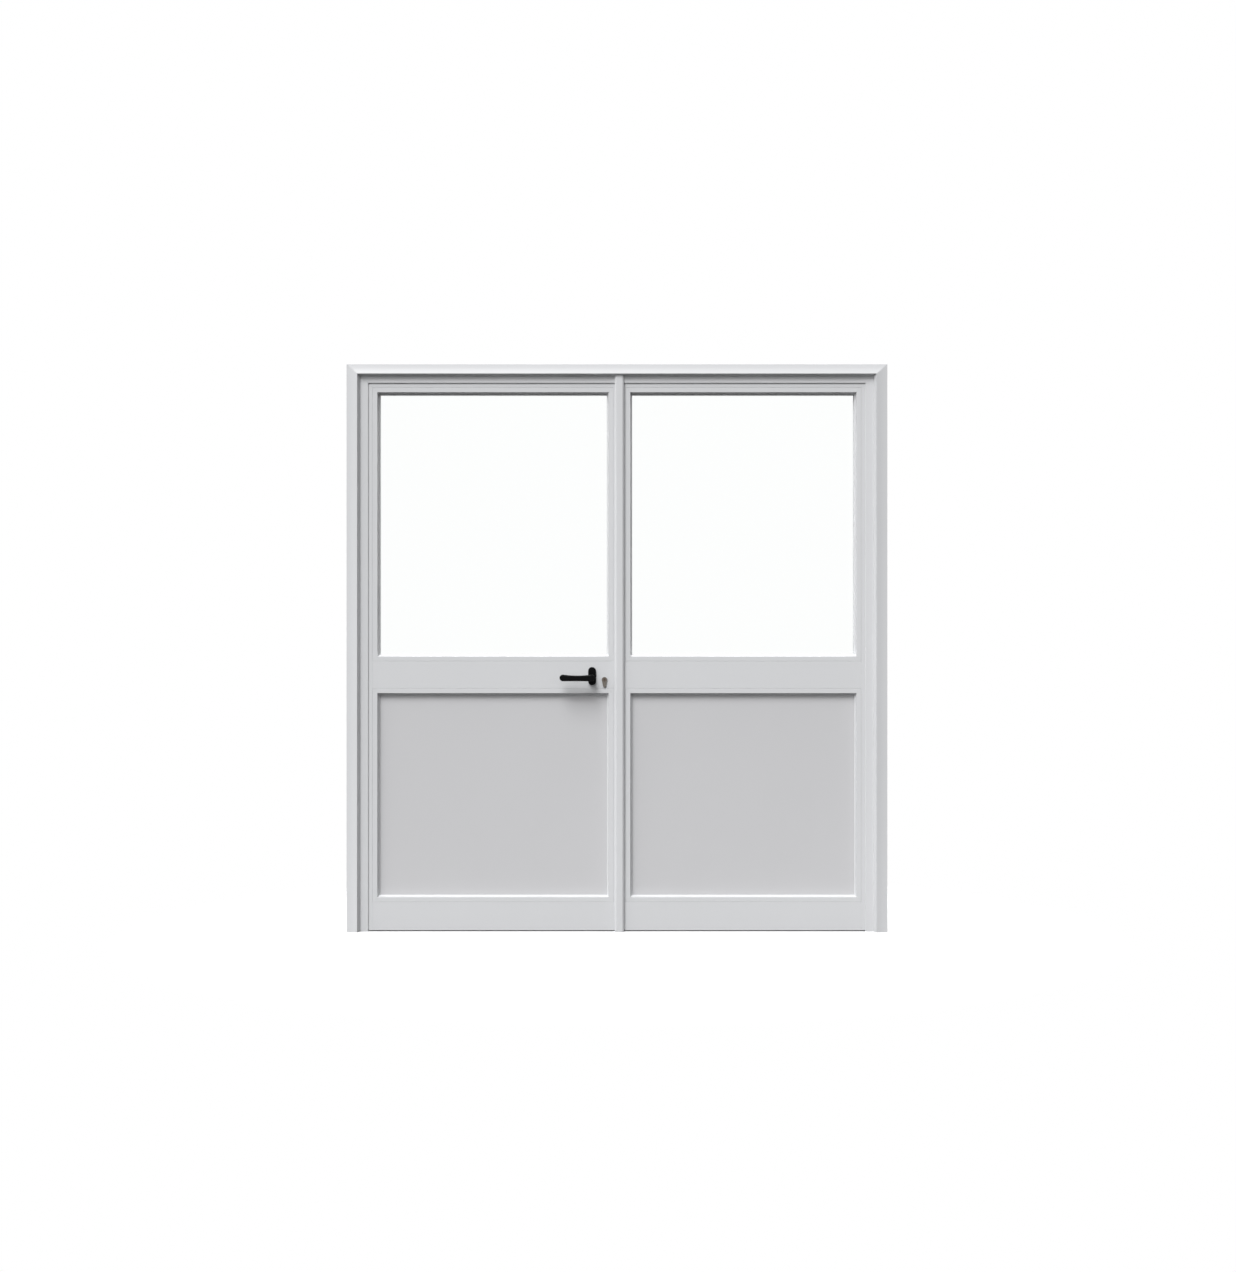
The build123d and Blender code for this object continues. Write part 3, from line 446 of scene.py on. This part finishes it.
def merged_copy(node):
    """Mesh of a CAD node with its points merged and its flat faces made whole."""
    shape = bmesh.new()
    shape.from_mesh(frame["nodes"][node].data)
    bmesh.ops.remove_doubles(shape, verts=shape.verts[:], dist=MERGE_DISTANCE)
    bmesh.ops.dissolve_limit(shape, angle_limit=FLAT_ANGLE, verts=shape.verts[:], edges=shape.edges[:])
    return shape


def rounded(shape, edges, width, segments):
    """Round over some edges of a mesh."""
    bmesh.ops.bevel(
        shape,
        geom=edges,
        offset=width,
        offset_type="OFFSET",
        affect="EDGES",
        segments=segments,
        profile=0.5,
        material=-1,
        clamp_overlap=False,
    )


def round_over(shape, width, shortest=SHORTEST_EASED_EDGE):
    """Round over the sharp edges of a mesh that are longer than the shortest one."""
    edges = [
        edge
        for edge in shape.edges
        if edge.is_manifold and edge.calc_length() > shortest and edge.calc_face_angle() > SHARP_ANGLE
    ]
    rounded(shape, edges, width, EASED_SEGMENTS)


def eased(node, slot, width, shortest=SHORTEST_EASED_EDGE):
    """Piece that stands for a CAD node, with its sharp edges rounded over."""
    shape = merged_copy(node)
    round_over(shape, width, shortest)
    return piece(node + "_eased", shape, frame["nodes"][node]["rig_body"], slot, node)


def shells(node):
    """Lowest and highest corner of each separate solid of a CAD node."""
    shape = merged_copy(node)
    left = set(shape.verts)
    boxes = []
    while left:
        waiting = [left.pop()]
        found = []
        while waiting:
            corner = waiting.pop()
            found.append(corner.co.copy())
            near = {edge.other_vert(corner) for edge in corner.link_edges} & left
            left -= near
            waiting.extend(near)
        low = Vector([min(point[axis] for point in found) for axis in range(3)])
        high = Vector([max(point[axis] for point in found) for axis in range(3)])
        boxes.append((low, high))
    shape.free()
    return boxes


def grown_edges(shape, edges):
    """Extrude a loop of edges and give the new points and edges."""
    grown = bmesh.ops.extrude_edge_only(shape, edges=edges)["geom"]
    points = [item for item in grown if isinstance(item, bmesh.types.BMVert)]
    lines = [item for item in grown if isinstance(item, bmesh.types.BMEdge)]
    kept = set(points)
    return points, [line for line in lines if line.verts[0] in kept and line.verts[1] in kept]


def facing(centre, side):
    """Place of a flat shape that lies against a face and looks along the Y axis to one side."""
    return Matrix.Translation(centre) @ Matrix.Rotation(-side * math.pi / 2, 4, "X")


def star_screw(shape, centre, side, head_radius, head_depth, shank_radius, shank_depth, crown=0.0):
    """Screw seen end on, with a six-lobed recess, a flat or crowned head, and its shank behind."""
    place = facing(centre, side)
    radius = head_radius * RECESS_ACROSS
    lobes = bmesh.ops.create_circle(shape, segments=RECESS_CORNERS, radius=radius)["verts"]
    for number, corner in enumerate(lobes):
        corner.co *= LOBE_RADII[number % len(LOBE_RADII)]
        corner.co.z = crown
    rim = list({edge for corner in lobes for edge in corner.link_edges})
    floor, floor_edges = grown_edges(shape, rim)
    for corner in floor:
        corner.co.z = crown - head_depth * RECESS_DEEP
    bmesh.ops.contextual_create(shape, geom=floor_edges)
    head, head_edges = grown_edges(shape, rim)
    for corner in head:
        corner.co.z = 0
        corner.co *= head_radius / corner.co.length
    neck, neck_edges = grown_edges(shape, head_edges)
    for corner in neck:
        corner.co = corner.co.normalized() * shank_radius
        corner.co.z = -head_depth
    foot, foot_edges = grown_edges(shape, neck_edges)
    for corner in foot:
        corner.co.z = -shank_depth
    bmesh.ops.contextual_create(shape, geom=foot_edges)
    made = lobes + floor + head + neck + foot
    bmesh.ops.transform(shape, matrix=place, verts=made)
    faces = {face for corner in made for face in corner.link_faces}
    bmesh.ops.recalc_face_normals(shape, faces=list(faces))


def turned(centre, side, outline):
    """Turned form whose outline holds pairs of radius and height over a face on one side."""
    shape = bmesh.new()
    corners = [shape.verts.new((radius, 0, height)) for radius, height in outline]
    edges = [shape.edges.new(pair) for pair in zip(corners, corners[1:])]
    bmesh.ops.spin(
        shape,
        geom=corners + edges,
        cent=(0, 0, 0),
        axis=(0, 0, 1),
        angle=2 * math.pi,
        steps=TURNED_STEPS,
        use_merge=True,
    )
    bmesh.ops.remove_doubles(shape, verts=shape.verts[:], dist=MERGE_DISTANCE)
    bmesh.ops.recalc_face_normals(shape, faces=shape.faces[:])
    bmesh.ops.transform(shape, matrix=facing(centre, side), verts=shape.verts[:])
    return shape


def joined(*shapes):
    """One mesh from several."""
    whole = bmesh.new()
    for shape in shapes:
        part = bpy.data.meshes.new("part")
        shape.to_mesh(part)
        shape.free()
        whole.from_mesh(part)
        bpy.data.meshes.remove(part)
    return whole


def painted(slot, *nodes):
    """Give CAD nodes that stay as they are their finish."""
    for node in nodes:
        for place in frame["nodes"][node].material_slots:
            place.material = finish(slot)


def of_leaves(*names):
    """Names of the same pieces in both leaves."""
    return [f"{side}_{name}" for side in ("left", "right") for name in names]


class DOORS_OT_frame(bpy.types.Operator):
    """Jambs, head and centre post, with eased edges"""

    bl_idname = "doors.frame"
    bl_label = "Frame"

    def execute(self, context):
        for node in ("jamb_left", "jamb_right", "head", "centre_post"):
            eased(node, "grey_coat", context.scene.door_sizes.profile_ease)
        painted("mill_aluminium", "frame_corner_cleats", "post_foot", "post_head_cleat")
        return {"FINISHED"}


class DOORS_OT_casing(bpy.types.Operator):
    """Moulded casing round the frame"""

    bl_idname = "doors.casing"
    bl_label = "Casing"

    def execute(self, context):
        for node in ("casing_left", "casing_right", "casing_head"):
            eased(node, "grey_coat", context.scene.door_sizes.profile_ease)
        return {"FINISHED"}


class DOORS_OT_leaves(bpy.types.Operator):
    """Stiles and rails of both leaves"""

    bl_idname = "doors.leaves"
    bl_label = "Leaves"

    def execute(self, context):
        bars = of_leaves("hinge_stile", "meeting_stile", "top_rail", "lock_rail", "bottom_rail")
        for node in bars:
            eased(node, "grey_coat", context.scene.door_sizes.profile_ease)
        painted("mill_aluminium", *of_leaves("corner_cleats"))
        return {"FINISHED"}


class DOORS_OT_beads(bpy.types.Operator):
    """Mitred sloped beads round the panes and panels"""

    bl_idname = "doors.beads"
    bl_label = "Beads"

    def execute(self, context):
        for side in ("left", "right"):
            self.leaf_beads(context.scene.door_sizes, side)
        return {"FINISHED"}

    def leaf_beads(self, sizes, side):
        """Eight beads of one leaf as one piece."""
        low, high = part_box(side + "_beads")
        rail_low, rail_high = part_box(side + "_lock_rail")
        panel_top = rail_low.z + sizes.bead_width - sizes.bead_fit
        glass_foot = rail_high.z - sizes.bead_width + sizes.bead_fit
        shape = bmesh.new()
        for foot, top in ((low.z, panel_top), (glass_foot, high.z)):
            corners = ((low.x, foot), (low.x, top), (high.x, top), (high.x, foot))
            for number, start in enumerate(corners):
                self.bead(shape, sizes, start, corners[(number + 1) % 4], (low.y, high.y))
        round_over(shape, sizes.profile_ease)
        piece(side + "_beads_eased", shape, side + "_leaf", "grey_coat", side + "_beads")

    def bead(self, shape, sizes, start, end, depth):
        """One coved bead between two corners of an opening, mitred at both ends."""
        run = Vector((end[0] - start[0], 0, end[1] - start[1])).normalized()
        inward = Vector((run.z, 0, -run.x))
        front, back = depth
        flat = sizes.bead_flat - sizes.bead_fit
        width = sizes.bead_width - sizes.bead_fit
        hollow = (flat + (width - flat) * COVE_ACROSS, front + (back - front) * COVE_DEEP)
        section = ((0, front), (flat, front), hollow, (width, back), (0, back))
        first = [
            shape.verts.new(Vector((start[0], y, start[1])) + (inward + run) * across)
            for across, y in section
        ]
        cap = shape.faces.new(first)
        grown = bmesh.ops.extrude_face_region(shape, geom=[cap], use_keep_orig=True)["geom"]
        far = [corner for corner in grown if isinstance(corner, bmesh.types.BMVert)]
        whole = Vector((end[0] - start[0], 0, end[1] - start[1])).length
        for corner in far:
            across = (corner.co - Vector((start[0], 0, start[1]))).dot(inward)
            corner.co += run * (whole - 2 * across)
        faces = {face for corner in first + far for face in corner.link_faces}
        bmesh.ops.recalc_face_normals(shape, faces=list(faces))
        bottom = [edge for edge in first[2].link_edges if edge.other_vert(first[2]) in far]
        rounded(shape, bottom, sizes.bead_cove, ROUND_SEGMENTS)


class DOORS_OT_glazing(bpy.types.Operator):
    """Panes, panels, gaskets and setting blocks"""

    bl_idname = "doors.glazing"
    bl_label = "Glazing"

    def execute(self, context):
        painted("clear_glass", *of_leaves("glass"))
        for node in of_leaves("glass"):
            frame["nodes"][node].visible_shadow = False
        painted("grey_panel", *of_leaves("panel"))
        painted("grey_rubber", *of_leaves("gaskets"))
        painted("packer_plastic", *of_leaves("setting_blocks"))
        return {"FINISHED"}


class DOORS_OT_seals(bpy.types.Operator):
    """Seals on the frame and sweeps under the leaves"""

    bl_idname = "doors.seals"
    bl_label = "Seals"

    def execute(self, context):
        painted("grey_rubber", "frame_seals", *of_leaves("bottom_sweep"))
        return {"FINISHED"}


class DOORS_OT_hinges(bpy.types.Operator):
    """Hinge plates, pins and screws"""

    bl_idname = "doors.hinges"
    bl_label = "Hinges"

    def execute(self, context):
        sizes = context.scene.door_sizes
        for node in ("hinge_frame_plates", *of_leaves("hinge_plates")):
            eased(node, "hinge_coat", sizes.fitting_ease, sizes.fitting_ease)
        eased("hinge_pins", "bright_steel", sizes.fitting_ease, 0)
        for node in ("hinge_frame_screws", *of_leaves("hinge_screws")):
            self.screws(node, sizes)
        return {"FINISHED"}

    def screws(self, node, sizes):
        """Countersunk screws of one node, seen from the back."""
        shape = bmesh.new()
        for low, high in shells(node):
            centre = ((low.x + high.x) / 2, high.y, (low.z + high.z) / 2)
            radius = (high.x - low.x) / 2
            shank = radius - sizes.hinge_screw_flare
            star_screw(shape, centre, 1, radius, sizes.hinge_screw_flare, shank, high.y - low.y)
        piece(node + "_starred", shape, frame["nodes"][node]["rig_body"], "bright_steel", node)


class DOORS_OT_handle(bpy.types.Operator):
    """Levers, rosettes and spindle"""

    bl_idname = "doors.handle"
    bl_label = "Handle"

    def execute(self, context):
        sizes = context.scene.door_sizes
        painted("black_handle", "front_lever", "rear_lever")
        painted("bright_steel", "spindle", "spindle_pinion")
        for low, high in shells("rosettes"):
            self.rosette(sizes, low, high)
        self.screws(sizes)
        return {"FINISHED"}

    def rosette(self, sizes, low, high):
        """Pill-shaped plate with a collar for the lever, and a screw cap on the front one."""
        side = 1 if low.y > 0 else -1
        name = "rear_rosette" if side > 0 else "front_rosette"
        back, face = sorted((low.y, high.y), key=abs)
        middle = (low + high) / 2
        spindle_low, spindle_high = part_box("spindle")
        axle = (spindle_low + spindle_high) / 2
        width = high.x - low.x
        plate = bmesh.new()
        made = bmesh.ops.create_circle(plate, cap_ends=True, segments=ROSETTE_CORNERS, radius=width / 2)
        rim = made["verts"]
        bmesh.ops.rotate(plate, verts=rim, matrix=Matrix.Rotation(math.pi / ROSETTE_CORNERS, 3, "Z"))
        for corner in rim:
            corner.co.y += math.copysign((high.z - low.z - width) / 2, corner.co.y)
        grown = bmesh.ops.extrude_face_region(plate, geom=plate.faces[:], use_keep_orig=True)["geom"]
        top = [item for item in grown if isinstance(item, bmesh.types.BMVert)]
        bmesh.ops.translate(plate, verts=top, vec=(0, 0, abs(face - back)))
        bmesh.ops.recalc_face_normals(plate, faces=plate.faces[:])
        kept = set(top)
        crest = [edge for edge in plate.edges if edge.verts[0] in kept and edge.verts[1] in kept]
        rounded(plate, crest, sizes.rosette_edge, ROUND_SEGMENTS)
        bmesh.ops.transform(plate, matrix=facing((middle.x, back, middle.z), side), verts=plate.verts[:])
        bore, ring, rise = sizes.collar_bore, sizes.collar_radius, sizes.collar_rise
        lip = rise / 3
        outline = ((bore, -lip), (bore, rise - lip), (bore + lip, rise), (ring - lip, rise))
        outline += ((ring - lip / 3, rise - lip / 3), (ring, rise - lip), (ring, -lip))
        collar = turned((axle.x, face, axle.z), side, outline)
        shapes = [plate, collar]
        if side < 0:
            dome = [(share * sizes.cap_radius, height) for share, height in CAP_OUTLINE]
            shapes.append(turned((axle.x, face, middle.z + sizes.cap_offset), side, dome))
        stands_for = ["rosettes"] if side < 0 else []
        piece(name, joined(*shapes), "left_leaf", "black_handle", *stands_for)

    def screws(self, sizes):
        """Through screws of the rosettes, with crowned heads on the back."""
        shape = bmesh.new()
        for low, high in shells("rosette_screws"):
            centre = ((low.x + high.x) / 2, high.y, (low.z + high.z) / 2)
            radius = (high.x - low.x) / 2
            shank = radius * ROSETTE_SHANK
            reach = high.y - low.y
            crown = sizes.rosette_screw_crown
            star_screw(shape, centre, 1, radius, sizes.rosette_screw_head, shank, reach, crown)
        piece("rosette_screws_starred", shape, "left_leaf", "bright_steel", "rosette_screws")


class DOORS_OT_lock(bpy.types.Operator):
    """Lock cylinder, key plug, case and bolts"""

    bl_idname = "doors.lock"
    bl_label = "Lock"

    def execute(self, context):
        ease = context.scene.door_sizes.lock_ease
        eased("cylinder_body", "nickel_brass", ease, 0)
        eased("key_plug", "plug_brass", ease / 2, 0)
        for node in ("lock_forend", "lock_strike", "handle_bolt", "deadbolt"):
            eased(node, "bright_steel", ease)
        painted("bright_steel", "lock_case")
        return {"FINISHED"}


class DOORS_OT_slide_bolts(bpy.types.Operator):
    """Slide bolts on the back of the right leaf, with their keeps"""

    bl_idname = "doors.slide_bolts"
    bl_label = "Slide bolts"

    def execute(self, context):
        ease = context.scene.door_sizes.fitting_ease
        eased("slide_bolt_cases", "hinge_coat", ease)
        eased("slide_bolt_keeps", "hinge_coat", ease, 0)
        painted("bright_steel", "slide_bolt_lower", "slide_bolt_upper")
        return {"FINISHED"}


class DOORS_OT_stage(bpy.types.Operator):
    """Floor, backdrop, lamps and camera"""

    bl_idname = "doors.stage"
    bl_label = "Stage"

    def execute(self, context):
        stage = context.scene.door_stage
        context.scene.view_settings.view_transform = "Standard"
        self.backdrop(context, stage)
        self.floor(context)
        for name, level, spread, bearing in LAMPS:
            self.lamp(context, name, getattr(stage, level), spread, bearing)
        self.camera(context, stage)
        return {"FINISHED"}

    def backdrop(self, context, stage):
        """White to the eye and in reflections; on the doors soft light, more from above and the left."""
        world = context.scene.world or bpy.data.worlds.new("studio")
        context.scene.world = world
        look = Look(world)
        seen = self.seen_rays(look)
        here = look.node("ShaderNodeTexCoord", output="Generated")
        height = look.node("ShaderNodeSeparateXYZ", {}, {"Vector": here}, "Z")
        right = look.node("ShaderNodeSeparateXYZ", {}, {"Vector": here}, "X")
        lift = look.node(
            "ShaderNodeMapRange",
            {"interpolation_type": "SMOOTHSTEP"},
            {
                "Value": height,
                "From Min": -HORIZON,
                "From Max": HORIZON,
                "To Min": stage.ground,
                "To Max": stage.sky,
            },
        )
        glow = seen + (1 - seen) * lift * (1 - stage.lean * right)
        look.output(look.node("ShaderNodeBackground", {}, {"Color": (1, 1, 1, 1), "Strength": glow}))

    def seen_rays(self, look):
        """One for rays from the eye, from gloss and through glass, nought for light on the surfaces."""
        camera = look.node("ShaderNodeLightPath", output="Is Camera Ray")
        glossy = look.node("ShaderNodeLightPath", output="Is Glossy Ray")
        through = look.node("ShaderNodeLightPath", output="Is Transmission Ray")
        scattered = look.node("ShaderNodeLightPath", output="Diffuse Depth")
        straight = 1 - scattered.math("MINIMUM", scattered, 1)
        most = camera.math("MAXIMUM", camera, glossy)
        return straight * most.math("MAXIMUM", most, through)

    def floor(self, context):
        """Pale floor that keeps the shadow and fades into the backdrop."""
        shape = bmesh.new()
        bmesh.ops.create_grid(shape, x_segments=2, y_segments=2, size=FLOOR_HALF)
        mesh = bpy.data.meshes.new("floor")
        shape.to_mesh(mesh)
        shape.free()
        look = new_look("pale_floor")
        seen = self.seen_rays(look)
        tone = look.mix(seen, FLOOR_BOUNCE, FLOOR_TONE)
        skin = look.node("ShaderNodeBsdfDiffuse", {}, {"Color": tone})
        flat = look.place(FLOOR_STRETCH)
        reach = look.node("ShaderNodeVectorMath", {"operation": "LENGTH"}, {0: flat}, "Value")
        fade = look.node(
            "ShaderNodeMapRange",
            {"interpolation_type": "SMOOTHSTEP"},
            {
                "Value": reach,
                "From Min": FLOOR_FADE_START,
                "From Max": FLOOR_FADE_END,
                "To Min": 0,
                "To Max": 1,
            },
        )
        clear = look.node("ShaderNodeBsdfTransparent")
        look.output(look.node("ShaderNodeMixShader", {}, {0: fade, 1: skin, 2: clear}))
        mesh.materials.append(look.owner)
        made = bpy.data.objects.new("floor", mesh)
        context.scene.collection.objects.link(made)

    def lamp(self, context, name, power, spread, bearing):
        """Soft far light from a bearing: degrees round to the left of the camera, and degrees up."""
        data = bpy.data.lights.new(name, "SUN")
        data.energy = power
        data.angle = math.radians(spread)
        made = bpy.data.objects.new(name, data)
        aside, lift = (math.radians(angle) for angle in bearing)
        across = math.cos(lift)
        towards = Vector((-math.sin(aside) * across, -math.cos(aside) * across, math.sin(lift)))
        made.rotation_euler = towards.to_track_quat("Z", "Y").to_euler()
        made.visible_transmission = False
        context.scene.collection.objects.link(made)

    def camera(self, context, stage):
        """Camera level with the lock rail, square on to the doors."""
        data = bpy.data.cameras.new("camera")
        data.sensor_fit = "AUTO"
        data.sensor_width = SENSOR_WIDTH
        data.lens = stage.lens
        made = bpy.data.objects.new("camera", data)
        made.location = (stage.camera_aside, -stage.camera_distance, stage.camera_height)
        made.rotation_euler = (math.radians(90), 0, 0)
        context.scene.collection.objects.link(made)
        context.scene.camera = made


STEPS = (
    DOORS_OT_frame,
    DOORS_OT_casing,
    DOORS_OT_leaves,
    DOORS_OT_beads,
    DOORS_OT_glazing,
    DOORS_OT_seals,
    DOORS_OT_hinges,
    DOORS_OT_handle,
    DOORS_OT_lock,
    DOORS_OT_slide_bolts,
    DOORS_OT_stage,
)


class DOORS_PT_panel(bpy.types.Panel):
    """Steps that dress the doors, with their finishes, sizes and studio"""

    bl_idname = "DOORS_PT_panel"
    bl_label = "French Doors"
    bl_space_type = "VIEW_3D"
    bl_region_type = "UI"
    bl_category = "French Doors"

    def draw(self, context):
        for step in STEPS:
            self.layout.operator(step.bl_idname)
        for group in (context.scene.door_finishes, context.scene.door_sizes, context.scene.door_stage):
            box = self.layout.box()
            for name in group.bl_rna.properties.keys():
                if name not in ("rna_type", "name"):
                    box.prop(group, name)


CLASSES = (DoorFinishes, DoorSizes, DoorStage, *STEPS, DOORS_PT_panel)


def register():
    for made in CLASSES:
        bpy.utils.register_class(made)
    bpy.types.Scene.door_finishes = PointerProperty(type=DoorFinishes)
    bpy.types.Scene.door_sizes = PointerProperty(type=DoorSizes)
    bpy.types.Scene.door_stage = PointerProperty(type=DoorStage)


def unregister():
    del bpy.types.Scene.door_stage
    del bpy.types.Scene.door_sizes
    del bpy.types.Scene.door_finishes
    for made in reversed(CLASSES):
        bpy.utils.unregister_class(made)


def main():
    """Dress the doors step by step."""
    register()
    for step in STEPS:
        group, name = step.bl_idname.split(".")
        getattr(getattr(bpy.ops, group), name)()


if __name__ == "__main__":
    main()
